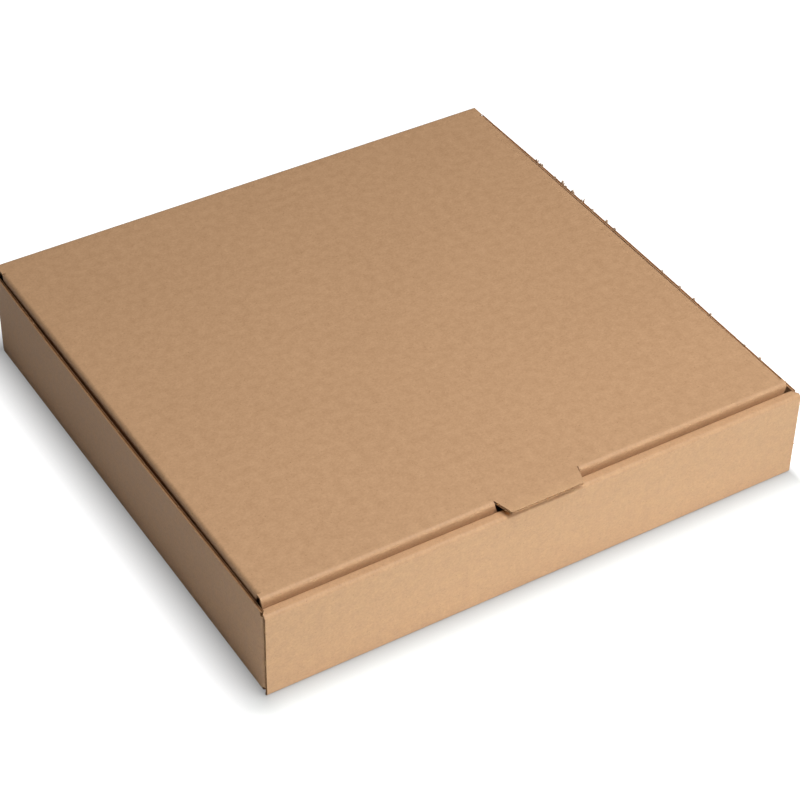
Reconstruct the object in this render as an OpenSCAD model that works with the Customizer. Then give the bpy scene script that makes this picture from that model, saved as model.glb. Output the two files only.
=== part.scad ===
// Folding pizza box of single-wall corrugated board, cut and creased as one blank.
// The tray has a rolled front wall that locks into the floor, and the lid turns on the crease
// at the top of the rear wall.
// X runs across the front, Y from the front wall to the rear wall, and Z up.
// The origin is the middle of the underside.

/* [Box] */
// Outside width of the front wall
box_w = 320; // [240:1:420]
// Outside depth, front wall to rear wall
box_d = 310; // [240:1:420]
// Height of the front wall and the side walls
wall_h = 54; // [48:0.5:80]

/* [Board] */
// Thickness of the board
board_t = 1.6; // [1.2:0.1:1.9]
// Inside radius of every crease
crease_r = 0.5; // [0.3:0.05:0.8]
// Clearance between layers that lie face to face
layer_gap = 0.4; // [0.3:0.05:0.6]

/* [Front wall] */
// Depth of the rolled top of the front wall
roll_d = 6.8; // [6.4:0.1:10]
// Width of each locking tab at the foot of the inner front wall
lock_w = 42; // [20:1:60]
// Distance between the middles of the two locking tabs
lock_pitch = 170; // [80:1:200]
// Clearance round a locking tab in its slot
slot_gap = 0.3; // [0.2:0.05:0.5]
// Height of a locking tab's end above the underside
lock_recess = 0.3; // [0.2:0.05:0.6]

/* [Side walls] */
// Length of the corner flaps that fold in from the side walls
corner_l = 46; // [25:1:70]
// How far the corner flaps narrow towards their ends, on each edge
corner_taper = 5; // [2:0.5:8]
// Height of the corner flaps' lower edge above the crease
corner_foot = 1; // [1:0.5:6]
// Clearance of the corner flaps under the rolled front wall
corner_head = 1; // [0.8:0.1:6]

/* [Lid] */
// Height of the closed lid's top above the walls
lid_stand = 4.8; // [3.5:0.1:6]
// Clearance between the lid's side flaps and the side walls, with the lid in the middle
lid_gap = 1.6; // [1.6:0.1:2.5]
// How far the lid sits to one side of the tray's middle
lid_shift = -1.2; // [-1.2:0.1:1.2]
// Depth of the lid's side flaps
side_flap_h = 38; // [20:1:40]
// How far a side flap's free edge leans in
side_flap_in = 1; // [0.5:0.1:3]
// Distance from a side flap's front end to the front crease
side_flap_front = 2.5; // [2.5:0.5:10]
// Distance from a side flap's rear end to the hinge
side_flap_rear = 8; // [6:0.5:15]
// How far a side flap's ends slope in at its free edge
side_flap_taper = 12; // [8:1:30]
// Depth of the tuck flap
tuck_h = 38; // [20:1:40]
// How far the tuck flap's ends slope in at its free edge
tuck_taper = 6; // [3:0.5:15]
// Clearance between the tuck flap's free edge and the front wall as the lid swings
swing_gap = 0.6; // [0.4:0.1:2]

/* [Pull tab] */
// Width of the pull tab where it leaves the lid
tab_root_w = 50; // [30:1:80]
// Width of the pull tab at its tip
tab_tip_w = 43; // [20:1:80]
// Length of the pull tab
tab_l = 11.6; // [9:0.1:16]
// Width of the cut that parts the pull tab from the tuck flap's crease
tab_cut = 0.3; // [0.2:0.05:0.5]

/* [Hinge] */
// Opening between the two halves of the hinge crease, at the outside
hinge_gap = 0.2; // [0.1:0.05:0.4]

/* [Hidden] */
$fn = 64;
kraft = "#C39B6D";
square_fold = 90;

// Outside radius of every crease
bend_r = crease_r + board_t;

// Lines of the front wall and the rear wall
front_y = -box_d / 2;
rear_y = box_d / 2;
// Clearance on both sides of a corner flap in the pocket of the rolled front wall
pocket_gap = (roll_d - 3 * board_t) / 2;
// Half widths of the floor between its creases, and of the inner front wall between the side walls
floor_half = box_w / 2 - bend_r;
inner_half = box_w / 2 - board_t - layer_gap;

// Ends of the flat stretch of a side wall, between the creases of its corner flaps
side_y0 = front_y + board_t + pocket_gap + bend_r;
side_y1 = rear_y - board_t - layer_gap - bend_r;
side_len = wall_h - bend_r;
// Top of the corner flaps, under the rolled front wall
corner_top = side_len - board_t - corner_head;

// Lid: width over its side flaps, half widths of its flat panel and of its cut ends, which reach as far
lid_w = box_w - 2 * (board_t + lid_gap);
lid_half = lid_w / 2 - bend_r;
lid_cut = lid_w / 2;
rear_h = wall_h + lid_stand;
lid_front_y = front_y + roll_d + layer_gap;
lid_len = rear_y - lid_front_y - 2 * bend_r;
// How far the tuck flap's free edge leans in to swing clear
tuck_in = tuck_h * tuck_h / 2 / lid_len + swing_gap;
// Length of board that the tuck flap's crease takes up, at mid thickness
tuck_arc = (crease_r + board_t / 2) * square_fold * PI / 180;

// The hinge crease is parted half way round, where the lid turns on its outer line
half_fold = square_fold / 2;
hinge_part = hinge_gap / 2 / bend_r * 180 / PI;

// Every panel is drawn flat with its outer face on z = 0 and its inner face at z = board_t.
// It leaves its crease along +y, and every crease turns towards the inner face.

module board() {
    linear_extrude(board_t) children();
}

// A flat panel from x0 to x1 that runs a length away from its crease
module panel(x0, x1, length) {
    board() translate([x0, 0]) square([x1 - x0, length]);
}

// A panel of the outline given, whose free edge stands off towards the inner face
module leaning_panel(length, lean) {
    deep = board_t + lean;
    intersection() {
        translate([0, 0, -deep]) linear_extrude(3 * deep) children();
        translate([-box_w, 0])
            rotate([90, 0, 90])
                linear_extrude(2 * box_w)
                    polygon([[0, 0], [length, lean], [length, deep], [0, board_t]]);
    }
}

// The board in its bend, from x0 to x1
module bend(x0, x1, angle) {
    translate([x0, 0, bend_r])
        rotate([0, 90, 0])
            rotate_extrude(angle = angle)
                translate([crease_r, 0])
                    square([board_t, x1 - x0]);
}

// Places what follows a square crease
module turned() {
    translate([0, 0, bend_r])
        rotate([square_fold, 0, 0])
            translate([0, 0, -bend_r])
                children();
}

// A whole square crease from x0 to x1, with the panel that it carries
module crease(x0, x1) {
    bend(x0, x1, square_fold);
    turned() children();
}

// The same piece on the left and on the right
module both_sides() {
    children();
    mirror([1, 0, 0]) children();
}

// Floor with the two slots for the locking tabs
module floor_panel() {
    slot_w = lock_w + 2 * slot_gap;
    slot_d = board_t + 2 * slot_gap;
    slot_y = front_y + roll_d - board_t - slot_gap;
    difference() {
        translate([0, front_y + bend_r])
            panel(-floor_half, floor_half, box_d - 2 * bend_r);
        both_sides()
            translate([lock_pitch / 2 - slot_w / 2, slot_y, -board_t])
                cube([slot_w, slot_d, 3 * board_t]);
    }
}

// Inner layer of the front wall, down to the floor, with the tabs that lock into it
module inner_front_wall() {
    length = wall_h - bend_r - board_t - layer_gap;
    lock_l = board_t + layer_gap - lock_recess;
    panel(-inner_half, inner_half, length);
    both_sides()
        translate([lock_pitch / 2, length])
            panel(-lock_w / 2, lock_w / 2, lock_l);
}

// Front wall: outer layer, rolled top that narrows to pass between the side walls, and inner layer
module front_wall() {
    half = box_w / 2;
    top_l = roll_d - 2 * bend_r;
    crease(-half, half) {
        outer_l = wall_h - 2 * bend_r;
        panel(-half, half, outer_l);
        translate([0, outer_l])
            crease(-half, half) {
                board() polygon([[-half, 0], [half, 0], [inner_half, top_l], [-inner_half, top_l]]);
                translate([0, top_l])
                    crease(-inner_half, inner_half)
                        inner_front_wall();
            }
    }
}

// Flap on the end of a side wall; x runs up the wall and y away from it
module corner_flap() {
    crease(corner_foot, corner_top)
        board() polygon([
            [corner_foot, 0],
            [corner_top, 0],
            [corner_top - corner_taper, corner_l],
            [corner_foot + corner_taper, corner_l]
        ]);
}

// Side wall with its two corner flaps; x runs from front to rear and y up the wall
module side_wall() {
    crease(side_y0, side_y1) {
        panel(side_y0, side_y1, side_len);
        translate([side_y0, 0]) rotate([0, 0, square_fold]) corner_flap();
        translate([side_y1, 0]) mirror([1, 0, 0]) rotate([0, 0, square_fold]) corner_flap();
    }
}

// Half of the hinge crease, short of its parting line
module half_hinge() {
    bend(-lid_cut, lid_cut, half_fold - hinge_part);
}

// Rear wall, up to the middle of the hinge crease
module rear_wall() {
    length = rear_h - 2 * bend_r;
    crease(-lid_cut, lid_cut) {
        board() polygon([
            [-lid_cut, 0],
            [lid_cut, 0],
            [lid_shift + lid_cut, length],
            [lid_shift - lid_cut, length]
        ]);
        translate([lid_shift, length]) half_hinge();
    }
}

// The lid's flat panel, full width at its ends and creased for the side flaps between them
module lid_panel() {
    relief = layer_gap;
    panel(-lid_half, lid_half, lid_len);
    panel(-lid_cut, lid_cut, side_flap_rear - relief);
    translate([0, lid_len - side_flap_front + relief])
        panel(-lid_cut, lid_cut, side_flap_front - relief);
}

// Side flap of the lid; x runs from the hinge to the front and y towards the flap's free edge
module lid_side_flap() {
    x0 = side_flap_rear;
    x1 = lid_len - side_flap_front;
    crease(x0, x1)
        leaning_panel(side_flap_h, side_flap_in)
            polygon([
                [x0, 0],
                [x1, 0],
                [x1 - side_flap_taper, side_flap_h],
                [x0 + side_flap_taper, side_flap_h]
            ]);
}

// Tuck flap, with the notch that the pull tab leaves in it
module tuck_flap() {
    root = tab_root_w / 2;
    tip = tab_tip_w / 2;
    both_sides() bend(root + tab_cut, lid_cut, square_fold);
    turned()
        leaning_panel(tuck_h, tuck_in)
            polygon([
                [-lid_cut, 0],
                [-root - tab_cut, 0],
                [-tip, tab_l - tuck_arc],
                [tip, tab_l - tuck_arc],
                [root + tab_cut, 0],
                [lid_cut, 0],
                [lid_cut - tuck_taper, tuck_h],
                [tuck_taper - lid_cut, tuck_h]
            ]);
}

// Pull tab, cut out of the tuck flap, which stays level with the lid and reaches over the front wall
module pull_tab() {
    root = tab_root_w / 2;
    tip = tab_tip_w / 2;
    board() polygon([[-root, 0], [root, 0], [tip, tab_l], [-tip, tab_l]]);
}

module tray() {
    color(kraft) {
        floor_panel();
        translate([0, front_y + bend_r]) rotate([0, 0, 2 * square_fold]) front_wall();
        both_sides() translate([-floor_half, 0]) rotate([0, 0, square_fold]) side_wall();
        translate([0, rear_y - bend_r]) rear_wall();
    }
}

module lid() {
    color(kraft)
        translate([lid_shift, rear_y - bend_r, rear_h])
            rotate([2 * square_fold, 0, 0]) {
                mirror([0, 1, 0]) half_hinge();
                lid_panel();
                both_sides()
                    translate([-lid_half, 0])
                        rotate([0, 0, square_fold])
                            lid_side_flap();
                translate([0, lid_len]) {
                    tuck_flap();
                    pull_tab();
                }
            }
}

tray();
lid();
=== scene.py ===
import math
import random

import bmesh
import bpy
import numpy as np
from mathutils import Matrix, Vector


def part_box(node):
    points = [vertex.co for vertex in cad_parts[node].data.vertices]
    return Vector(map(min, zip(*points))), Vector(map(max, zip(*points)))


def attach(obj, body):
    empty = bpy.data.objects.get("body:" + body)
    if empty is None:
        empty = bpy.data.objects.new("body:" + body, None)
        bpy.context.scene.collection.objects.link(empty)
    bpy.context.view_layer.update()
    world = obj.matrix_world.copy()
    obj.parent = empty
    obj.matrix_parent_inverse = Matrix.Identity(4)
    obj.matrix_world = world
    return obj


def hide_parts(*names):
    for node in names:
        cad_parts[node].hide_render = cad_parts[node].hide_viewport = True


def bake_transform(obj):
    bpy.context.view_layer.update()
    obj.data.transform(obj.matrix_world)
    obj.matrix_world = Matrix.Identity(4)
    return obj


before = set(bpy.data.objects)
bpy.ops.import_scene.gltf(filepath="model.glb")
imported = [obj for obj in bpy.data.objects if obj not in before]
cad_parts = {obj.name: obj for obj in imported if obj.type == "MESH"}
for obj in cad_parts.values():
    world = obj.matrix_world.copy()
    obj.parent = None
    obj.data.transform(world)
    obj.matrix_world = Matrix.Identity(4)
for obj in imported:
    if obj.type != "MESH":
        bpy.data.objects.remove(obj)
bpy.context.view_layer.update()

# Folding pizza box of plain brown corrugated board, closed, on a white studio floor.
# Its blank is drawn flat, panel by panel, and folded to where the solids lie.
# Lengths of the box are in millimetres, and those of the floor, lamps and camera in metres.

MM = 0.001

# Sizes that the CAD parts in model.glb give
tray_low, tray_high = (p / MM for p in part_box("tray"))
lid_low, lid_high = (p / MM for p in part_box("lid"))
BOX_W = tray_high.x - tray_low.x
FRONT_Y, REAR_Y = tray_low.y, tray_high.y
LID_W = lid_high.x - lid_low.x
LID_SHIFT = (lid_high.x + lid_low.x) / 2
REAR_H = lid_high.z

# Board
BOARD = 1.6
CREASE_R = 0.5
BEND_R = CREASE_R + BOARD
BEND_LEN = (CREASE_R + BOARD / 2) * math.pi / 2
LAYER_GAP = 0.4

# Front wall, side walls and their flaps
WALL_H = 54.0
ROLL_D = 6.8
LOCK_W, LOCK_PITCH, LOCK_RECESS, SLOT_GAP = 42.0, 170.0, 0.3, 0.3
CORNER_LEN, CORNER_TAPER, CORNER_FOOT, CORNER_HEAD = 46.0, 5.0, 1.0, 1.0

# Lid, its flaps and its pull tab
SIDE_FLAP_H, SIDE_FLAP_IN = 38.0, 1.0
SIDE_FLAP_FRONT, SIDE_FLAP_REAR, SIDE_FLAP_TAPER = 2.5, 8.0, 12.0
TUCK_H, TUCK_TAPER, SWING_GAP = 38.0, 6.0, 0.6
TAB_ROOT, TAB_TIP, TAB_LEN, TAB_CUT = 25.0, 21.5, 11.6, 0.3
NOTCH_GAP = 0.2

# Values that follow
FLOOR_HALF = BOX_W / 2 - BEND_R
INNER_HALF = BOX_W / 2 - BOARD - LAYER_GAP
POCKET_GAP = (ROLL_D - 3 * BOARD) / 2
SIDE_Y0 = FRONT_Y + BOARD + POCKET_GAP + BEND_R
SIDE_Y1 = REAR_Y - BOARD - LAYER_GAP - BEND_R
SIDE_LEN = WALL_H - BEND_R
FRONT_LEN = WALL_H - 2 * BEND_R
CORNER_TOP = SIDE_LEN - BOARD - CORNER_HEAD
LID_HALF = LID_W / 2 - BEND_R
LID_CUT = LID_W / 2
LID_FRONT_Y = FRONT_Y + ROLL_D + LAYER_GAP
LID_LEN = REAR_Y - LID_FRONT_Y - 2 * BEND_R
REAR_LEN = REAR_H - 2 * BEND_R
TUCK_IN = TUCK_H * TUCK_H / 2 / LID_LEN + SWING_GAP
RELIEF = LAYER_GAP

# The hinge crease takes this much of the rear wall and of the lid with it, and bends a little past its arc
HINGE_MARGIN = 5.0

# Make-up of the board at a cut edge
LINER = 0.26
MEDIUM = 0.2
MEDIUM_BITE = 0.02
FLUTE_PITCH = 3.4
FLUTE_RISE = (BOARD - MEDIUM) / 2 - LINER + MEDIUM_BITE

# Depth of the hollow between the liners, and the depths at which the medium in it has its points
ACROSS_DEPTH, ALONG_DEPTH = 0.7, 0.9
MEDIUM_DEPTHS = (0.08, 0.6, ALONG_DEPTH + 0.05)

# Cuts that slant less than this run along the flutes
ALONG_SLANT = 0.3

# Least divisor of a mitre, which keeps it short at a sharp corner
MITRE_LIMIT = 0.25

# Unevenness of the folded board
SIDE_BOW, REAR_BOW, REAR_BOW_START, BOW_POWER = 0.85, 0.35, 40.0, 1.5
LID_SWELL, LID_WAVES = 0.5, 0.5
LID_WAVE_X, LID_WAVE_Y, LID_PHASE_X, LID_PHASE_Y = 47.0, 58.0, 0.6, 1.9
FRONT_HOLLOW, FRONT_WAVES, FRONT_WAVE_X = 0.25, 0.3, 31.0

# How finely the blank is divided
GRID = 20.0
GRID_CLEAR = GRID / 8
BEND_STEPS = 8
FLUTE_STEPS = 8
RIBBON_STEP = 10.0

# Points that agree to so many decimals are one point, and a cut this near to a corner goes through it
DECIMALS = 3
SAME_PLACE = 10 ** -DECIMALS
CUT_NEAR = 1e-4

# Edges that turn by more than this are shaded sharp
SHARP_TURN = math.radians(38)

# Numbers of a board's materials. The third is a lighter copy of the raw-edge colour, painted light on the lit
# side
LINER_LOOK, EDGE_LOOK, LIT_EDGE_LOOK = 0, 1, 2


def window(x, low, high):
    """Smooth bump that is 0 at both ends and 1 half way."""
    s = min(max((x - low) / (high - low), 0.0), 1.0)
    return math.sin(math.pi * s) ** 2


def side_bow(x, y):
    """Push of a side wall to its inner face. It is below 0, so the wall bows out, most at its top."""
    along = SIDE_BOW * window(x, SIDE_Y0, SIDE_Y1) + REAR_BOW * window(x, REAR_BOW_START, SIDE_Y1)
    return -along * max(y / SIDE_LEN, 0.0) ** BOW_POWER


def lid_swell(x, y):
    """Push of the lid to its inner face. It is below 0, so the lid swells, and 0 along its creases."""
    hold = window(x, -LID_HALF, LID_HALF) * window(y, SIDE_FLAP_REAR, LID_LEN - SIDE_FLAP_FRONT)
    waves = math.sin(x / LID_WAVE_X + LID_PHASE_X) * math.sin(y / LID_WAVE_Y + LID_PHASE_Y)
    return -LID_SWELL * hold * (1 + LID_WAVES * waves)


def front_swell(x, y):
    """Push of the front wall to its inner face, a slight hollow that is 0 along its creases."""
    hold = window(y, 0.0, FRONT_LEN) * (1 - (x / BOX_W * 2) ** 2)
    waves = 1 - FRONT_WAVES + FRONT_WAVES * math.sin(x / FRONT_WAVE_X)
    return FRONT_HOLLOW * hold * waves


def rectangle(x0, x1, y0, y1):
    return [(x0, y0), (x1, y0), (x1, y1), (x0, y1)]


def in_plane(x, y, turns, flip):
    """3 by 3 matrix of a move, quarter turns and a mirror in a panel's own plane."""
    c, s = ((1, 0), (0, 1), (-1, 0), (0, -1))[turns % 4]
    k = np.array([[c, -s, 0], [s, c, 0], [0, 0, 1]], float)
    if flip:
        k[0] *= -1
    k[:2, 2] = x, y
    return k


class Spot:
    """Where a panel starts: its place when folded, and its place in the flat blank.
    x runs along its crease, y away from it, and z from the outer face to the inner face."""

    def __init__(self, folded=np.eye(4), flat=np.eye(3)):
        self.folded, self.flat = folded, flat

    def at(self, x=0.0, y=0.0, turns=0, flip=False):
        k = in_plane(x, y, turns, flip)
        solid = np.eye(4)
        solid[:2, :2], solid[:2, 3] = k[:2, :2], k[:2, 2]
        return Spot(self.folded @ solid, self.flat @ k)

    def creased(self):
        turn = np.array([[1, 0, 0, 0], [0, 0, -1, BEND_R], [0, 1, 0, BEND_R], [0, 0, 0, 1]], float)
        return Spot(self.folded @ turn, self.flat @ in_plane(0.0, BEND_LEN, 0, False))

    def v_line(self):
        """The spot's v in the flat blank."""
        return (self.flat @ (0.0, 0.0, 1.0))[1]


class Region:
    """One flat or bent stretch of the blank."""

    def __init__(self, spot, outline, bent, lean, push):
        self.spot, self.outline, self.bent, self.lean, self.push = spot, outline, bent, lean, push
        self.back = np.linalg.inv(spot.flat)

    def corners(self):
        return [tuple((self.spot.flat @ (x, y, 1.0))[:2]) for x, y in self.outline]

    def place(self, u, v):
        """Folded point on the outer face, direction to the inner face, and the blank's two directions."""
        x, y, _ = self.back @ (u, v, 1.0)
        if self.bent:
            a = y / BEND_LEN * math.pi / 2
            c, s = math.cos(a), math.sin(a)
            point, inner, along = (x, BEND_R * s, BEND_R - BEND_R * c), (0, -s, c), (0, c, s)
        else:
            rise = self.lean * y + (self.push(x, y) if self.push else 0.0)
            point, inner, along = (x, y, rise), (0, 0, 1), (0, 1, self.lean)
        m = self.spot.folded
        turn = m[:3, :3]
        dx, dy = turn @ (1, 0, 0), turn @ along
        du, dv = (dx * self.back[0, i] + dy * self.back[1, i] for i in (0, 1))
        return turn @ point + m[:3, 3], turn @ inner, du, dv


class Sheet:
    """A part of the blank, as a list of regions."""

    def __init__(self):
        self.regions = []

    def panel(self, spot, outline, lean=0.0, push=None):
        self.regions.append(Region(spot, outline, False, lean, push))

    def bend(self, spot, x0, x1):
        self.regions.append(Region(spot, rectangle(x0, x1, 0.0, BEND_LEN), True, 0.0, None))
        return spot.creased()


# The flat blank

def cut_flat(bm, faces, axis, value):
    """Divides those faces of the flat blank along a line of constant u (axis 0) or v (axis 1)."""
    place, normal = [0.0, 0.0, 0.0], [0.0, 0.0, 0.0]
    place[axis], normal[axis] = value, 1.0
    crossed = [f for f in faces if min(v.co[axis] for v in f.verts) < value - CUT_NEAR
               and max(v.co[axis] for v in f.verts) > value + CUT_NEAR]
    edges = {e for f in crossed for e in f.edges}
    verts = {v for f in crossed for v in f.verts}
    bmesh.ops.bisect_plane(bm, geom=[*verts, *edges, *crossed], dist=CUT_NEAR,
                           plane_co=place, plane_no=normal)


def cut_lines(sheet, holes, axis):
    """Where the flat blank is divided: at every corner, and on a grid between them."""
    spots = [corner[axis] for region in sheet.regions for corner in region.corners()]
    spots += [x for hole in holes for x in hole[2 * axis:2 * axis + 2]]
    lines = sorted({round(x, DECIMALS) for x in spots})
    low, high = math.ceil(lines[0] / GRID), math.floor(lines[-1] / GRID)
    grid = [g * GRID for g in range(low, high + 1)]
    return lines + [g for g in grid if min(abs(g - x) for x in lines) > GRID_CLEAR]


def divide_bend(bm, mark, number, region):
    """Divides a bent region across its bend, so that it can follow the arc."""
    corners = region.corners()
    axis = 0 if abs(corners[0][0] - corners[3][0]) > SAME_PLACE else 1
    start, end = corners[0][axis], corners[3][axis]
    for k in range(1, BEND_STEPS):
        faces = [f for f in bm.faces if f[mark] == number]
        cut_flat(bm, faces, axis, start + (end - start) * k / BEND_STEPS)


def in_hole(point, hole, margin):
    """Whether a point of the flat blank lies in a hole, or within the margin round it."""
    u0, u1, v0, v1 = hole
    return u0 - margin < point.x < u1 + margin and v0 - margin < point.y < v1 + margin


def flat_blank(sheet, holes):
    """The sheet's regions as one flat mesh, divided so that they share their corners."""
    bm = bmesh.new()
    mark = bm.faces.layers.int.new("region")
    for i, region in enumerate(sheet.regions):
        f = bm.faces.new([bm.verts.new((u, v, 0.0)) for u, v in region.corners()])
        f[mark] = i
    for axis in (0, 1):
        for value in cut_lines(sheet, holes, axis):
            cut_flat(bm, bm.faces[:], axis, value)
    bmesh.ops.remove_doubles(bm, verts=bm.verts, dist=SAME_PLACE)
    for i, region in enumerate(sheet.regions):
        if region.bent:
            divide_bend(bm, mark, i, region)
    gone = [f for f in bm.faces if any(in_hole(f.calc_center_median(), hole, 0.0) for hole in holes)]
    bmesh.ops.delete(bm, geom=gone, context="FACES")
    bm.verts.index_update()
    bm.verts.ensure_lookup_table()
    return bm, mark


def rim_of(flat, mark, seams, holes, plain):
    """The flat blank's outer edges, each with whether it shows the raw cut or is closed flat."""

    def raw(e):
        ends = [v.co for v in e.verts]
        on_seam = any(all(abs(p.y - seam) < SAME_PLACE for p in ends) for seam in seams)
        on_hole = any(all(in_hole(p, hole, SAME_PLACE) for p in ends) for hole in holes)
        return not (on_seam or on_hole or e.link_faces[0][mark] in plain)

    return [(e, raw(e)) for e in flat.edges if len(e.link_faces) == 1]


def cut_corners(cuts):
    """For every corner of the raw cuts, its mitre into the board and the depth of the hollow there.
    A cut that runs along the flutes opens a valley between them, deeper than one across them."""
    inward = {}
    for e in cuts:
        a, b = e.verts
        d = (b.co - a.co).normalized()
        side = Vector((-d.y, d.x, 0.0))
        if (e.link_faces[0].calc_center_median() - a.co).dot(side) < 0:
            side = -side
        for v in (a, b):
            inward.setdefault(v.index, []).append(side)
    corners = {}
    for i, sides in inward.items():
        mitre = sum(sides, Vector((0, 0, 0)))
        if len(sides) == 2:
            mitre = mitre / max(1 + sides[0].dot(sides[1]), MITRE_LIMIT)
        along = all(abs(side.y) < ALONG_SLANT for side in sides)
        corners[i] = np.array(mitre)[:2], ALONG_DEPTH if along else ACROSS_DEPTH
    return corners


# Folding

def as_object(bm, name, materials):
    """A mesh in millimetres as an object of the scene."""
    bmesh.ops.scale(bm, vec=(MM, MM, MM), verts=bm.verts)
    mesh = bpy.data.meshes.new(name)
    bm.to_mesh(mesh)
    bm.free()
    for material in materials:
        mesh.materials.append(material)
    made = bpy.data.objects.new(name, mesh)
    bpy.context.scene.collection.objects.link(made)
    return made


class Board:
    """Folded board in the making, whose points keep their place on the flat blank.
    p is a folded point, n the direction to the inner face, du and dv are the blank's two directions
    there, and m is the mitre into the board at a corner of a cut."""

    def __init__(self, lit_from_u):
        self.bm = bmesh.new()
        self.on_blank = self.bm.verts.layers.float_vector.new("on_blank")
        self.lit_from_u = lit_from_u

    def add(self, point, u, v):
        made = self.bm.verts.new(point)
        made[self.on_blank] = (u, v, 0.0)
        return made

    def face(self, points, look):
        self.bm.faces.new(points).material_index = look

    # Edges past that u, on the lit side, take a lighter copy of the raw-edge colour: painted light
    def edge_look(self, u):
        return LIT_EDGE_LOOK if u > self.lit_from_u else EDGE_LOOK

    def liners(self, flat, placed):
        """The board's outer and inner face."""
        outer, inner = [], []
        for v, (p, n, _, _) in zip(flat.verts, placed):
            outer.append(self.add(p, v.co.x, v.co.y))
            inner.append(self.add(p + n * BOARD, v.co.x, v.co.y))
        for f in flat.faces:
            ids = [v.index for v in f.verts]
            self.face([outer[i] for i in ids], LINER_LOOK)
            self.face([inner[i] for i in reversed(ids)], LINER_LOOK)
        return outer, inner

    def lips(self, flat, placed, corners):
        """Lips of the two liners and the hollow between them, as four points at every corner of a cut."""
        rings = {}
        for i, (m, depth) in corners.items():
            p, n, du, dv = placed[i]
            u, v = flat.verts[i].co[:2]
            step = (du * m[0] + dv * m[1]) * depth
            deep = (u + m[0] * depth, v + m[1] * depth)
            rings[i] = [
                self.add(p + n * LINER, u, v),
                self.add(p + n * LINER + step, *deep),
                self.add(p + n * (BOARD - LINER) + step, *deep),
                self.add(p + n * (BOARD - LINER), u, v),
            ]
        return rings

    def close(self, rim, outer, inner, rings):
        """Joins the two faces along the rim, by way of the lips at a raw cut."""
        for e, raw in rim:
            a, b = (v.index for v in e.verts)
            look = self.edge_look(e.verts[0].co.x)
            if raw:
                left = [outer[a], *rings[a], inner[a]]
                right = [outer[b], *rings[b], inner[b]]
                for k in range(len(left) - 1):
                    self.face([left[k], right[k], right[k + 1], left[k + 1]], look)
            else:
                self.face([outer[a], outer[b], *rings.get(b, []), inner[b],
                           inner[a], *reversed(rings.get(a, []))], look)
        bmesh.ops.recalc_face_normals(self.bm, faces=self.bm.faces[:])

    def across_medium(self, at, p, n, du, dv, m):
        """Points of the medium's lower and upper face at one place along a cut."""
        pairs = []
        for depth in MEDIUM_DEPTHS:
            u, v = at + m * depth
            wave = BOARD / 2 + FLUTE_RISE * math.sin(2 * math.pi * u / FLUTE_PITCH)
            q = p + (du * m[0] + dv * m[1]) * depth
            pairs.append([self.add(q + n * (wave - MEDIUM / 2), u, v),
                          self.add(q + n * (wave + MEDIUM / 2), u, v)])
        return pairs

    def medium(self, cuts, placed, corners):
        """The medium's waves, as a ribbon along every raw cut."""
        ribbon = []
        for e in cuts:
            ends = [(np.array(v.co[:2]), *placed[v.index], corners[v.index][0]) for v in e.verts]
            run_u, run_v = abs(ends[1][0] - ends[0][0])
            look = self.edge_look(ends[0][0][0])
            steps = max(1, math.ceil(run_u / FLUTE_PITCH * FLUTE_STEPS), math.ceil(run_v / RIBBON_STEP))
            last = None
            for k in range(steps + 1):
                pairs = self.across_medium(*(x + (y - x) * (k / steps) for x, y in zip(*ends)))
                ribbon += [x for pair in pairs for x in pair]
                loop = [low for low, _ in pairs] + [high for _, high in reversed(pairs)]
                if last:
                    for j in range(len(loop)):
                        i = (j + 1) % len(loop)
                        self.face([last[j], last[i], loop[i], loop[j]], look)
                last = loop
        bmesh.ops.remove_doubles(self.bm, verts=ribbon, dist=SAME_PLACE)
        ribbon = [v for v in ribbon if v.is_valid]
        open_ends = [e for e in self.bm.edges if len(e.link_faces) == 1]
        if open_ends:
            for f in bmesh.ops.holes_fill(self.bm, edges=open_ends, sides=0)["faces"]:
                f.material_index = EDGE_LOOK
        bmesh.ops.recalc_face_normals(self.bm, faces=list({f for v in ribbon for f in v.link_faces}))

    def finished(self, name, materials):
        """The board as an object, with the flat blank as its texture's plane."""
        bm = self.bm
        uv = bm.loops.layers.uv.new("blank")
        for f in bm.faces:
            f.smooth = True
            for loop in f.loops:
                loop[uv].uv = Vector(loop.vert[self.on_blank][:2]) * MM
        for e in bm.edges:
            if len(e.link_faces) == 2 and e.calc_face_angle(0.0) > SHARP_TURN:
                e.smooth = False
        bm.verts.layers.float_vector.remove(bm.verts.layers.float_vector["on_blank"])
        return as_object(bm, name, materials)


def fold(name, sheet, materials, seams=(), holes=(), plain=(), lit_from_u=math.inf):
    """Folds a sheet of the blank into an object: two liners, and the fluted medium at every cut edge.
    seams are v lines where the sheet goes on in another object. Edges there, on holes and on plain
    regions are closed flat. Edges past the last argument's u take the third material, a lighter raw edge:
    painted light on the lit side."""
    flat, mark = flat_blank(sheet, holes)
    placed = [sheet.regions[v.link_faces[0][mark]].place(v.co.x, v.co.y) for v in flat.verts]
    rim = rim_of(flat, mark, seams, holes, plain)
    cuts = [e for e, raw in rim if raw]
    corners = cut_corners(cuts)
    board = Board(lit_from_u)
    outer, inner = board.liners(flat, placed)
    rings = board.lips(flat, placed, corners)
    board.close(rim, outer, inner, rings)
    board.medium(cuts, placed, corners)
    flat.free()
    return board.finished(name, materials)


# Materials

# Cells of the paper's noises to the metre, along u and along v
FIBRE_CELLS, GRAIN_CELLS, CLOUD_CELLS = (420.0, 2600.0), (700.0, 850.0), (180.0, 220.0)
BROAD_CELLS, SPECK_CELLS = (13.0, 16.0), (900.0, 1500.0)

# Noise values where a dark fleck starts and where it is full, and its tint
FLECK_START, FLECK_FULL = 0.74, 0.84
FLECK_TINT = (0.62, 0.56, 0.5, 1.0)

# Bump of the paper, in metres, and the parts of the fibres and of the flutes' ribs in it
BUMP_DEPTH, BUMP_STRENGTH = 0.00012, 0.35
FIBRE_BUMP, RIB_BUMP = 0.5, 0.12

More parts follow.
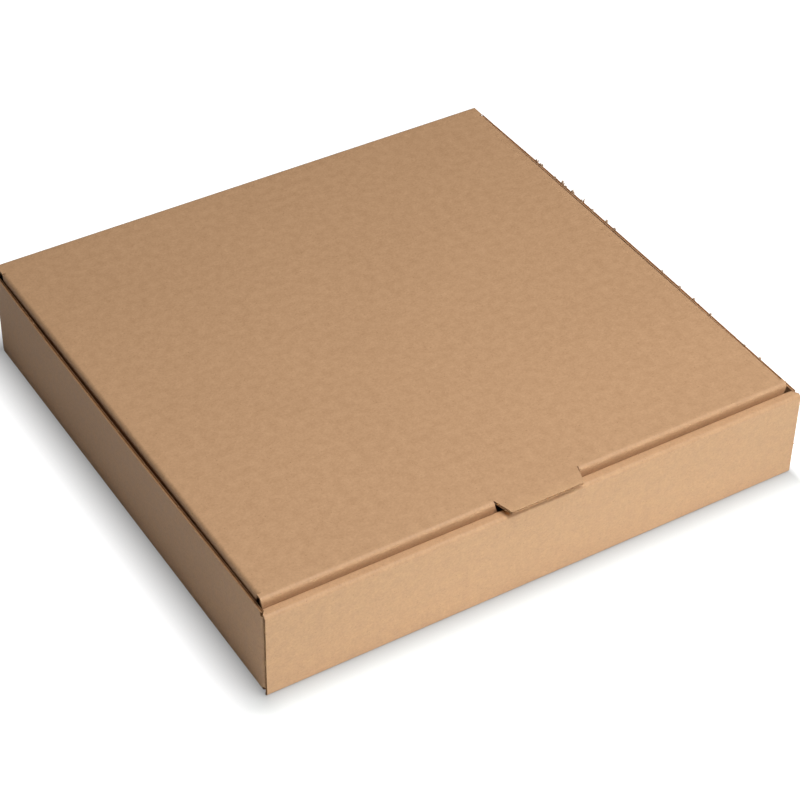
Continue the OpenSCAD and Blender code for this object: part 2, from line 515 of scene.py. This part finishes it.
# The roughness varies this much with the clouds, between these values of their noise
ROUGH_SPREAD, CLOUD_LOW, CLOUD_HIGH = 0.06, 0.3, 0.7

# Middle of a noise's range
HALF_WAY = 0.5

# Colour sockets of a Mix node
MIX_A, MIX_B, MIX_RESULT = 6, 7, 2

WHITE = (1.0, 1.0, 1.0, 1.0)


def node(tree, kind, **inputs):
    """A new node, with values set on its inputs by name."""
    made = tree.nodes.new(kind)
    for name, value in inputs.items():
        made.inputs[name.replace("_", " ")].default_value = value
    return made


def noise_on_blank(tree, blank, cells, detail, rough=0.55):
    """Noise on the blank's own plane, with so many cells to the metre along u and along v."""
    mapping = node(tree, "ShaderNodeMapping", Scale=(*cells, 1.0))
    tree.links.new(blank.outputs["UV"], mapping.inputs["Vector"])
    made = node(tree, "ShaderNodeTexNoise", Scale=1.0, Detail=detail, Roughness=rough)
    made.noise_dimensions = "2D"
    tree.links.new(mapping.outputs["Vector"], made.inputs["Vector"])
    return made.outputs["Fac"]


def maths(tree, operation, *values):
    """Result of a Math node on numbers and sockets."""
    made = tree.nodes.new("ShaderNodeMath")
    made.operation = operation
    for i, x in enumerate(values):
        if isinstance(x, (int, float)):
            made.inputs[i].default_value = x
        else:
            tree.links.new(x, made.inputs[i])
    return made.outputs[0]


def ramp(tree, value, *stops):
    """Colour ramp between two stops, each a position and a colour."""
    made = tree.nodes.new("ShaderNodeValToRGB")
    for element, (position, colour) in zip(made.color_ramp.elements, stops):
        element.position = position
        element.color = colour
    tree.links.new(value, made.inputs["Fac"])
    return made.outputs["Color"]


def kraft(name, dark, light, rough, fibre_part, cloud_part, broad_part):
    """Brown kraft paper: long fibres, fine grain, cloudy formation, dark flecks and the flutes' ribs."""
    material = bpy.data.materials.new(name)
    material.use_nodes = True
    tree = material.node_tree
    shader = tree.nodes["Principled BSDF"]
    blank = tree.nodes.new("ShaderNodeUVMap")
    blank.uv_map = "blank"

    fibres = noise_on_blank(tree, blank, FIBRE_CELLS, detail=4.0, rough=0.6)
    grain = noise_on_blank(tree, blank, GRAIN_CELLS, detail=2.0, rough=0.6)
    clouds = noise_on_blank(tree, blank, CLOUD_CELLS, detail=3.0)
    broad = noise_on_blank(tree, blank, BROAD_CELLS, detail=2.0)
    specks = noise_on_blank(tree, blank, SPECK_CELLS, detail=1.0)

    tone = HALF_WAY
    parts = ((fibres, fibre_part / 2), (grain, fibre_part), (clouds, cloud_part), (broad, broad_part))
    for noise, part in parts:
        swing = maths(tree, "SUBTRACT", noise, HALF_WAY)
        tone = maths(tree, "ADD", tone, maths(tree, "MULTIPLY", swing, part))
    mixed = tree.nodes.new("ShaderNodeMix")
    mixed.data_type = "RGBA"
    mixed.blend_type = "MULTIPLY"
    mixed.inputs["Factor"].default_value = 1.0
    tree.links.new(ramp(tree, tone, (0.0, (*dark, 1.0)), (1.0, (*light, 1.0))), mixed.inputs[MIX_A])
    tree.links.new(ramp(tree, specks, (FLECK_START, WHITE), (FLECK_FULL, FLECK_TINT)), mixed.inputs[MIX_B])
    tree.links.new(mixed.outputs[MIX_RESULT], shader.inputs["Base Color"])

    split = tree.nodes.new("ShaderNodeSeparateXYZ")
    tree.links.new(blank.outputs["UV"], split.inputs[0])
    turns = maths(tree, "MULTIPLY", split.outputs[0], 2 * math.pi / (FLUTE_PITCH * MM))
    ribs = maths(tree, "SINE", turns)
    height = maths(tree, "ADD", maths(tree, "MULTIPLY", fibres, FIBRE_BUMP), grain)
    height = maths(tree, "ADD", height, maths(tree, "MULTIPLY", ribs, RIB_BUMP))
    bump = node(tree, "ShaderNodeBump", Strength=BUMP_STRENGTH, Distance=BUMP_DEPTH)
    tree.links.new(height, bump.inputs["Height"])
    tree.links.new(bump.outputs["Normal"], shader.inputs["Normal"])

    varied = node(tree, "ShaderNodeMapRange", From_Min=CLOUD_LOW, From_Max=CLOUD_HIGH,
                  To_Min=rough - ROUGH_SPREAD, To_Max=rough + ROUGH_SPREAD)
    tree.links.new(clouds, varied.inputs["Value"])
    tree.links.new(varied.outputs["Result"], shader.inputs["Roughness"])
    return material


# Parts of the noises in the tone of raw edges and torn fibre
RAW_PARTS = {"fibre_part": 0.8, "cloud_part": 0.5, "broad_part": 0.2}

liner = kraft("kraft_liner", (0.46, 0.262, 0.136), (0.65, 0.392, 0.214), rough=0.62,
              fibre_part=0.7, cloud_part=0.6, broad_part=0.15)
# Raw edges are darker than the liner, in two copies: this lighter one paints light on lit edges, the lid's
# and the right wall's
cut_edge = kraft("kraft_cut_edge", (0.4, 0.225, 0.112), (0.66, 0.395, 0.21), rough=0.85, **RAW_PARTS)
# and this darker one paints shade on the rest of the tray's edges, whose dark tone is partly painted shade
dark_and_shaded_edge = kraft("kraft_dark_and_shaded_edge", (0.25, 0.125, 0.05), (0.48, 0.262, 0.12), rough=0.85, **RAW_PARTS)
torn = kraft("torn_fibre", (0.4, 0.275, 0.175), (0.7, 0.5, 0.34), rough=0.9, **RAW_PARTS)


# The tray

def front_wall(sheet, spot):
    """Outer layer, rolled top, inner layer and its two locking tabs, whose numbers are given back."""
    half, top = BOX_W / 2, ROLL_D - 2 * BEND_R
    spot = sheet.bend(spot, -half, half)
    sheet.panel(spot, rectangle(-half, half, 0.0, FRONT_LEN), push=front_swell)
    spot = sheet.bend(spot.at(y=FRONT_LEN), -half, half)
    sheet.panel(spot, [(-half, 0.0), (half, 0.0), (INNER_HALF, top), (-INNER_HALF, top)])
    spot = sheet.bend(spot.at(y=top), -INNER_HALF, INNER_HALF)
    length = WALL_H - BEND_R - BOARD - LAYER_GAP
    sheet.panel(spot, rectangle(-INNER_HALF, INNER_HALF, 0.0, length))
    locks = []
    for x in (-LOCK_PITCH / 2, LOCK_PITCH / 2):
        locks.append(len(sheet.regions))
        sheet.panel(spot.at(x, length),
                    rectangle(-LOCK_W / 2, LOCK_W / 2, 0.0, BOARD + LAYER_GAP - LOCK_RECESS))
    return locks


def corner_flap(sheet, spot):
    spot = sheet.bend(spot, CORNER_FOOT, CORNER_TOP)
    sheet.panel(spot, [(CORNER_FOOT, 0.0), (CORNER_TOP, 0.0),
                       (CORNER_TOP - CORNER_TAPER, CORNER_LEN), (CORNER_FOOT + CORNER_TAPER, CORNER_LEN)])


def side_wall(sheet, spot):
    spot = sheet.bend(spot, SIDE_Y0, SIDE_Y1)
    sheet.panel(spot, rectangle(SIDE_Y0, SIDE_Y1, 0.0, SIDE_LEN), push=side_bow)
    corner_flap(sheet, spot.at(SIDE_Y0, turns=1))
    corner_flap(sheet, spot.at(SIDE_Y1, flip=True).at(turns=1))


def sheared(y0, y1):
    """A stretch of the rear wall, which carries the lid to one side as it rises."""
    s0, s1 = LID_SHIFT * y0 / REAR_LEN, LID_SHIFT * y1 / REAR_LEN
    return [(s0 - LID_CUT, y0), (s0 + LID_CUT, y0), (s1 + LID_CUT, y1), (s1 - LID_CUT, y1)]


middle = Spot()
tray_sheet = Sheet()
tray_sheet.panel(middle, rectangle(-FLOOR_HALF, FLOOR_HALF, FRONT_Y + BEND_R, REAR_Y - BEND_R))
lock_regions = front_wall(tray_sheet, middle.at(y=FRONT_Y + BEND_R, turns=2))
for flip in (False, True):
    side_wall(tray_sheet, middle.at(flip=flip).at(-FLOOR_HALF, turns=1))
rear_spot = tray_sheet.bend(middle.at(y=REAR_Y - BEND_R), -LID_CUT, LID_CUT)
tray_sheet.panel(rear_spot, sheared(0.0, REAR_LEN - HINGE_MARGIN))

slot_v = FRONT_Y + ROLL_D - BOARD - SLOT_GAP
slot_half = LOCK_W / 2 + SLOT_GAP
lock_slots = [(x - slot_half, x + slot_half, slot_v, slot_v + BOARD + 2 * SLOT_GAP)
              for x in (-LOCK_PITCH / 2, LOCK_PITCH / 2)]
rear_seam = rear_spot.at(y=REAR_LEN - HINGE_MARGIN).v_line()
# The tray's raw edges take the darker, shaded copy, and the right wall's the lighter, lit copy: painted light
# and shade
tray = fold("tray_board", tray_sheet, (liner, dark_and_shaded_edge, cut_edge), seams=[rear_seam], holes=lock_slots,
            plain=lock_regions, lit_from_u=FLOOR_HALF + BEND_LEN)
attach(tray, "tray")
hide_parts("tray")


# The hinge crease between the rear wall and the lid

hinge_sheet = Sheet()
hinge_sheet.panel(rear_spot, sheared(REAR_LEN - HINGE_MARGIN, REAR_LEN))
lid_spot = hinge_sheet.bend(rear_spot.at(LID_SHIFT, REAR_LEN), -LID_CUT, LID_CUT)
hinge_sheet.panel(lid_spot, rectangle(-LID_CUT, LID_CUT, 0.0, HINGE_MARGIN))
lid_seam = lid_spot.at(y=HINGE_MARGIN).v_line()
hinge = fold("hinge_crease", hinge_sheet, (liner, dark_and_shaded_edge), seams=[rear_seam, lid_seam])
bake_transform(hinge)


# The lid

def side_flap(sheet, spot):
    x0, x1 = SIDE_FLAP_REAR, LID_LEN - SIDE_FLAP_FRONT
    spot = sheet.bend(spot, x0, x1)
    outline = [(x0, 0.0), (x1, 0.0), (x1 - SIDE_FLAP_TAPER, SIDE_FLAP_H), (x0 + SIDE_FLAP_TAPER, SIDE_FLAP_H)]
    sheet.panel(spot, outline, lean=SIDE_FLAP_IN / SIDE_FLAP_H)


def tuck_flap(sheet, spot):
    """The tuck flap in three stretches, beside and below the notch that the pull tab leaves."""
    root, tip = TAB_ROOT + TAB_CUT, TAB_TIP + NOTCH_GAP
    notch = TAB_LEN - BEND_LEN + NOTCH_GAP
    lean = TUCK_IN / TUCK_H
    outline = [(root, 0.0), (LID_CUT, 0.0), (LID_CUT - TUCK_TAPER, TUCK_H), (tip, TUCK_H), (tip, notch)]
    for flip in (False, True):
        under = sheet.bend(spot.at(flip=flip), root, LID_CUT)
        sheet.panel(under, outline, lean=lean)
    sheet.panel(spot.creased(), rectangle(-tip, tip, notch, TUCK_H), lean=lean)


lid_sheet = Sheet()
wide_rear, wide_front = SIDE_FLAP_REAR - RELIEF, LID_LEN - SIDE_FLAP_FRONT + RELIEF
lid_sheet.panel(lid_spot, rectangle(-LID_CUT, LID_CUT, HINGE_MARGIN, wide_rear))
lid_sheet.panel(lid_spot, rectangle(-LID_HALF, LID_HALF, wide_rear, wide_front), push=lid_swell)
lid_sheet.panel(lid_spot, rectangle(-LID_CUT, LID_CUT, wide_front, LID_LEN))
for flip in (False, True):
    side_flap(lid_sheet, lid_spot.at(flip=flip).at(-LID_HALF, turns=1))
tuck_flap(lid_sheet, lid_spot.at(y=LID_LEN))
lid_sheet.panel(lid_spot.at(y=LID_LEN),
                [(-TAB_ROOT, 0.0), (TAB_ROOT, 0.0), (TAB_TIP, TAB_LEN), (-TAB_TIP, TAB_LEN)])
lid = fold("lid_board", lid_sheet, (liner, cut_edge), seams=[lid_seam])
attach(lid, "lid")
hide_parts("lid")


# Torn fibre on the cut edges

ALONG_X, ALONG_Y, ALONG_Z = Vector((1, 0, 0)), Vector((0, 1, 0)), Vector((0, 0, 1))

# A shred's half thickness, and how far its end leans and skews to either side
SHRED_HALF, SHRED_LEAN, SHRED_SKEW = 0.11, 0.45, 0.35

# A fibre's rings of three points, the part of it that is rooted in the board, and how it thins and curves
FIBRE_RINGS, FIBRE_ANGLES = 4, (0.0, 2.1, 4.2)
FIBRE_ROOT, FIBRE_TAPER, FIBRE_CURVE = 0.25, 0.85, (0.2, 0.9)

# How far the nap strays across an edge, its fibres' radius, and the share and width of shreds in it
NAP_SPREAD, NAP_DRIFT, NAP_RADIUS = 0.6, 0.8, (0.04, 0.1)
NAP_SHREDS, NAP_SHRED_W, NAP_UNEVEN = 0.22, (0.4, 0.9), (0.4, 1.6)

# Nap of each edge: distance between fibres, and their least and greatest length
LEFT_NAP, RIGHT_NAP, FRONT_NAP = (2.4, 0.2, 0.7), (0.4, 0.2, 0.7), (1.2, 0.25, 0.7)
TAB_TIP_NAP, TAB_SIDE_NAP = (1.3, 0.15, 0.45), (1.3, 0.15, 0.4)

# The nap follows a side wall's bow in so many straight stretches
NAP_STRETCHES = 12

# Places along the right wall's top edge where the cut has torn, with the height of each tuft
TORN = ((93, 1.4), (88, 1.7), (74, 0.9), (66, 2.3), (62, 1.2), (56, 1.8), (46, 1.8), (36, 1.3),
        (22, 1.4), (14, 1.4), (-32, 1.5), (-48, 1.0), (-61, 1.6), (-76, 1.4), (-106, 0.7), (-120, 1.2))

# A tuft stands this far out from the middle of the edge, and has so many shreds and fibres
TUFT_OUT, TUFT_SHREDS, TUFT_FIBRES = 0.5, 4, 7

# Ranges in a tuft: its spread along and across the edge, its lean, and the sizes of what stands in it
TUFT_ALONG, TUFT_ACROSS, TUFT_LEAN, TUFT_DRIFT = (-1.0, 1.0), (-0.6, 0.3), (0.0, 0.5), (-0.3, 0.8)
TUFT_SHRED_W, TUFT_SHRED_H = (0.9, 1.9), (0.5, 1.1)
TUFT_FIBRE_H, TUFT_FIBRE_R = (0.6, 1.3), (0.07, 0.13)


class Fuzz:
    """Shreds and single fibres that stand out of cut edges, gathered into one mesh."""

    def __init__(self, seed):
        self.bm = bmesh.new()
        self.pick = random.Random(seed).uniform

    def solid(self, rings):
        """Closed solid through outlines of the same number of points."""
        rings = [[self.bm.verts.new(p) for p in ring] for ring in rings]
        self.bm.faces.new(list(reversed(rings[0])))
        self.bm.faces.new(rings[-1])
        for low_ring, high_ring in zip(rings, rings[1:]):
            for i in range(len(low_ring)):
                j = (i + 1) % len(low_ring)
                self.bm.faces.new([low_ring[i], low_ring[j], high_ring[j], high_ring[i]])

    def shred(self, base, along, out, side, width, height):
        """A torn tongue of liner, ragged at its end and bent to one side."""
        r = self.pick
        outline = [(-0.5, -0.3), (0.5, -0.3), (0.42, 0.25), (r(0.15, 0.4), r(0.5, 0.8)), (r(-0.1, 0.2), 1.0),
                   (r(-0.3, -0.1), r(0.6, 0.85)), (-0.45, 0.3)]
        lean, skew = r(-SHRED_LEAN, SHRED_LEAN), r(-SHRED_SKEW, SHRED_SKEW)
        faces = []
        for t in (SHRED_HALF, -SHRED_HALF):
            faces.append([base + along * (x * width + skew * max(y, 0) * height)
                          + out * (y * height) + side * (t + lean * max(y, 0) ** 2 * height)
                          for x, y in outline])
        self.solid(faces)

    def fibre(self, base, out, drift, length, radius):
        """A single tapered fibre that curves as it leaves the edge."""
        out, drift = out.normalized(), drift * self.pick(*FIBRE_CURVE)
        a = out.orthogonal().normalized()
        b = out.cross(a)
        rings = []
        for k in range(FIBRE_RINGS):
            s = k / (FIBRE_RINGS - 1)
            centre = base + out * ((s - FIBRE_ROOT) * length) + drift * (s * s * length)
            size = radius * (1 - FIBRE_TAPER * s)
            rings.append([centre + a * (size * math.cos(q)) + b * (size * math.sin(q)) for q in FIBRE_ANGLES])
        self.solid(rings)

    def nap(self, start, end, out, side, gap, low, high):
        """Short fibres all along an edge, at uneven distances, with a shred here and there."""
        start, end, out, side = (Vector(p) for p in (start, end, out, side))
        along = (end - start).normalized()
        reach, at = (end - start).length, 0.0
        r = self.pick
        while at < reach:
            base = start + along * at + side * r(-NAP_SPREAD, NAP_SPREAD)
            drift = along * r(-1, 1) + side * r(-NAP_DRIFT, NAP_DRIFT)
            self.fibre(base, out, drift, r(low, high), r(*NAP_RADIUS))
            if r(0, 1) < NAP_SHREDS:
                self.shred(base, along, out, side, r(*NAP_SHRED_W), r(low, high))
            at += gap * r(*NAP_UNEVEN)

    def tuft(self, spot, height):
        """A torn place on the right wall's top edge: a few shreds with single fibres among them."""
        r = self.pick
        for _ in range(TUFT_SHREDS):
            place = spot + ALONG_Y * r(*TUFT_ALONG) + ALONG_X * r(*TUFT_ACROSS)
            out = ALONG_Z + ALONG_X * r(*TUFT_LEAN)
            self.shred(place, ALONG_Y, out, ALONG_X, r(*TUFT_SHRED_W), height * r(*TUFT_SHRED_H))
        for _ in range(TUFT_FIBRES):
            drift = ALONG_Y * r(-1, 1) + ALONG_X * r(*TUFT_DRIFT)
            place = spot + ALONG_Y * r(*TUFT_ALONG)
            self.fibre(place, ALONG_Z, drift, height * r(*TUFT_FIBRE_H), r(*TUFT_FIBRE_R))

    def made(self, name, body, material):
        """Turns the fuzz into an object that moves with a body."""
        bmesh.ops.recalc_face_normals(self.bm, faces=self.bm.faces[:])
        uv = self.bm.loops.layers.uv.new("blank")
        for f in self.bm.faces:
            for loop in f.loops:
                p = loop.vert.co
                loop[uv].uv = ((p.x + p.y) * MM, (p.z + p.x / 2) * MM)
        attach(as_object(self.bm, name, [material]), body)


def wall_edge(side, y):
    """Middle of a side wall's top edge at y, with the wall's bow."""
    return Vector((side * (BOX_W / 2 - BOARD / 2 - side_bow(y, SIDE_LEN)), y, WALL_H))


tray_fuzz = Fuzz(seed=11)
for y, height in TORN:
    tray_fuzz.tuft(wall_edge(1, y) + ALONG_X * TUFT_OUT, height)
tray_fuzz.made("tray_fuzz", "tray", torn)

tray_nap = Fuzz(seed=17)
stretch_ends = [SIDE_Y0 + (SIDE_Y1 - SIDE_Y0) * k / NAP_STRETCHES for k in range(NAP_STRETCHES + 1)]
for side, wall_nap in ((-1, LEFT_NAP), (1, RIGHT_NAP)):
    for y0, y1 in zip(stretch_ends, stretch_ends[1:]):
        tray_nap.nap(wall_edge(side, y0), wall_edge(side, y1), ALONG_Z, ALONG_X, *wall_nap)
    x, y = side * BOX_W / 2, FRONT_Y + BOARD / 2
    tray_nap.nap((x, y, BEND_R), (x, y, WALL_H - BEND_R), ALONG_X * side, ALONG_Y, *FRONT_NAP)
tray_nap.made("tray_nap", "tray", cut_edge)

lid_fuzz = Fuzz(seed=23)
tab_z, root_y = REAR_H - BOARD / 2, LID_FRONT_Y + BEND_R
tip_y = root_y - TAB_LEN
tip_left, tip_right = ((LID_SHIFT + side * TAB_TIP, tip_y, tab_z) for side in (-1, 1))
lid_fuzz.nap(tip_left, tip_right, -ALONG_Y, ALONG_Z, *TAB_TIP_NAP)
for side, tip in ((-1, tip_left), (1, tip_right)):
    root = (LID_SHIFT + side * TAB_ROOT, root_y, tab_z)
    lid_fuzz.nap(root, tip, ALONG_X * side, ALONG_Z, *TAB_SIDE_NAP)
lid_fuzz.made("lid_fuzz", "lid", cut_edge)


# Floor, light and camera

# Half the floor's width, and how far it lies below the box
FLOOR_REACH, FLOOR_DROP = 6.0, 0.0002

# The floor's white as it lights the box, and the part of it that shows the box's shadow
FLOOR_WHITE, FLOOR_SHADED = (0.9, 0.9, 0.9, 1.0), (0.27, 0.27, 0.27, 1.0)

# Glow of the floor at the box's foot, the distance over which it rises to white, and its haste at the right
# The dimmer glow near the box paints a soft shadow round the closed box's outline, over its cast shadow
PAINTED_SHADOW_GLOW, PAINTED_SHADOW_WIDTH, PAINTED_SHADOW_HASTE = 0.3, 0.024, 4.0

# What the lamps aim at: the box, and the floor in front of it
BOX_MIDDLE = (0.0, 0.0, 0.03)
BEFORE_BOX_Y = -0.34


def beyond_box(tree):
    """Distance of a floor point from the closed box's outline, counting more at the right; it shapes the
    painted shadow.
    """
    place = tree.nodes.new("ShaderNodeNewGeometry")
    split = tree.nodes.new("ShaderNodeSeparateXYZ")
    tree.links.new(place.outputs["Position"], split.inputs[0])
    x, y = split.outputs[0], split.outputs[1]
    half_w, half_d = BOX_W / 2 * MM, REAR_Y * MM
    left = maths(tree, "SUBTRACT", maths(tree, "MULTIPLY", x, -1.0), half_w)
    right = maths(tree, "MULTIPLY", maths(tree, "SUBTRACT", x, half_w), PAINTED_SHADOW_HASTE)
    front_or_rear = maths(tree, "SUBTRACT", maths(tree, "ABSOLUTE", y), half_d)
    beyond = tree.nodes.new("ShaderNodeCombineXYZ")
    tree.links.new(maths(tree, "MAXIMUM", maths(tree, "MAXIMUM", left, right), 0.0), beyond.inputs[0])
    tree.links.new(maths(tree, "MAXIMUM", front_or_rear, 0.0), beyond.inputs[1])
    away = tree.nodes.new("ShaderNodeVectorMath")
    away.operation = "LENGTH"
    tree.links.new(beyond.outputs[0], away.inputs[0])
    return away.outputs["Value"]


def floor_material():
    """White to the light that it bounces, and to the camera white apart from the box's cast shadow and a
    painted shadow near its outline.
    """
    material = bpy.data.materials.new("studio_white")
    material.use_nodes = True
    tree = material.node_tree
    tree.nodes.remove(tree.nodes["Principled BSDF"])
    diffuse = node(tree, "ShaderNodeBsdfDiffuse", Color=FLOOR_WHITE)
    seen = node(tree, "ShaderNodeBsdfDiffuse", Color=FLOOR_SHADED)
    glow_and_painted_shadow = node(tree, "ShaderNodeEmission", Color=WHITE)
    # Painted shadow: the glow is dimmest at the box's foot and rises to white away from it
    painted_shadow_fade = node(tree, "ShaderNodeMapRange", From_Min=0.0, From_Max=PAINTED_SHADOW_WIDTH, To_Min=PAINTED_SHADOW_GLOW, To_Max=1.0)
    tree.links.new(beyond_box(tree), painted_shadow_fade.inputs["Value"])
    tree.links.new(painted_shadow_fade.outputs["Result"], glow_and_painted_shadow.inputs["Strength"])
    both = tree.nodes.new("ShaderNodeAddShader")
    tree.links.new(seen.outputs[0], both.inputs[0])
    tree.links.new(glow_and_painted_shadow.outputs[0], both.inputs[1])
    path = tree.nodes.new("ShaderNodeLightPath")
    surface = tree.nodes.new("ShaderNodeMixShader")
    tree.links.new(path.outputs["Is Camera Ray"], surface.inputs["Fac"])
    tree.links.new(diffuse.outputs[0], surface.inputs[1])
    tree.links.new(both.outputs[0], surface.inputs[2])
    tree.links.new(surface.outputs[0], tree.nodes["Material Output"].inputs["Surface"])
    return material


def white_floor():
    mesh = bpy.data.meshes.new("studio_floor")
    corners = rectangle(-FLOOR_REACH, FLOOR_REACH, -FLOOR_REACH, FLOOR_REACH)
    mesh.from_pydata([(x, y, 0.0) for x, y in corners], [], [(0, 1, 2, 3)])
    mesh.materials.append(floor_material())
    made = bpy.data.objects.new("studio_floor", mesh)
    made.location.z = -FLOOR_DROP
    bpy.context.scene.collection.objects.link(made)


def softbox(name, at, aim, wide, deep, power, spread=180.0, colour=(1.0, 1.0, 1.0)):
    """Rectangular lamp, with its power in watts and its spread in degrees."""
    data = bpy.data.lights.new(name, "AREA")
    data.shape = "RECTANGLE"
    data.size, data.size_y = wide, deep
    data.energy = power
    data.color = colour
    data.spread = math.radians(spread)
    made = bpy.data.objects.new(name, data)
    made.location = at
    made.rotation_euler = (Vector(aim) - Vector(at)).to_track_quat("-Z", "Y").to_euler()
    bpy.context.scene.collection.objects.link(made)


white_floor()
softbox("side_light", at=(1.38, -0.29, 0.98), aim=BOX_MIDDLE, wide=0.7, deep=0.7, power=2.5)
softbox("front_light", at=(0.12, -0.85, 1.13), aim=BOX_MIDDLE, wide=0.8, deep=0.8, power=9.7)
softbox("top_light", at=(0.19, -0.53, 1.42), aim=BOX_MIDDLE, wide=0.9, deep=0.9, power=13.2)
softbox("floor_light", at=(0.0, BEFORE_BOX_Y, 0.4), aim=(0.0, BEFORE_BOX_Y, 0.0), wide=0.7, deep=0.35,
        power=0.66, spread=6.0, colour=(0.86, 1.0, 0.87))

# The backdrop is white where the camera sees it, and lights nothing
world = bpy.data.worlds.new("studio")
world.use_nodes = True
bpy.context.scene.world = world
backdrop = world.node_tree.nodes["Background"]
backdrop.inputs["Color"].default_value = WHITE
world_path = world.node_tree.nodes.new("ShaderNodeLightPath")
world.node_tree.links.new(world_path.outputs["Is Camera Ray"], backdrop.inputs["Strength"])

# Camera recovered from the photograph's straight edges, with its angles in degrees and its lens in mm
CAMERA_AT = (-0.5316, -0.8610, 0.8614)
CAMERA_YAW, CAMERA_PITCH, CAMERA_ROLL = 32.167, 40.191, 1.105
CAMERA_LENS, CAMERA_SENSOR = 108.37, 36.0

yaw, pitch, roll = (math.radians(a) for a in (CAMERA_YAW, CAMERA_PITCH, CAMERA_ROLL))
ahead = Vector((math.sin(yaw) * math.cos(pitch), math.cos(yaw) * math.cos(pitch), -math.sin(pitch)))
level = Vector((math.cos(yaw), -math.sin(yaw), 0.0))
upright = level.cross(ahead)
right = level * math.cos(roll) + upright * math.sin(roll)
up = upright * math.cos(roll) - level * math.sin(roll)
camera = bpy.data.objects.new("camera", bpy.data.cameras.new("camera"))
camera.matrix_world = Matrix((right, up, -ahead)).transposed().to_4x4()
camera.location = CAMERA_AT
camera.data.sensor_width = CAMERA_SENSOR
camera.data.lens = CAMERA_LENS
bpy.context.scene.collection.objects.link(camera)
bpy.context.scene.camera = camera
bpy.context.scene.view_settings.view_transform = "Standard"
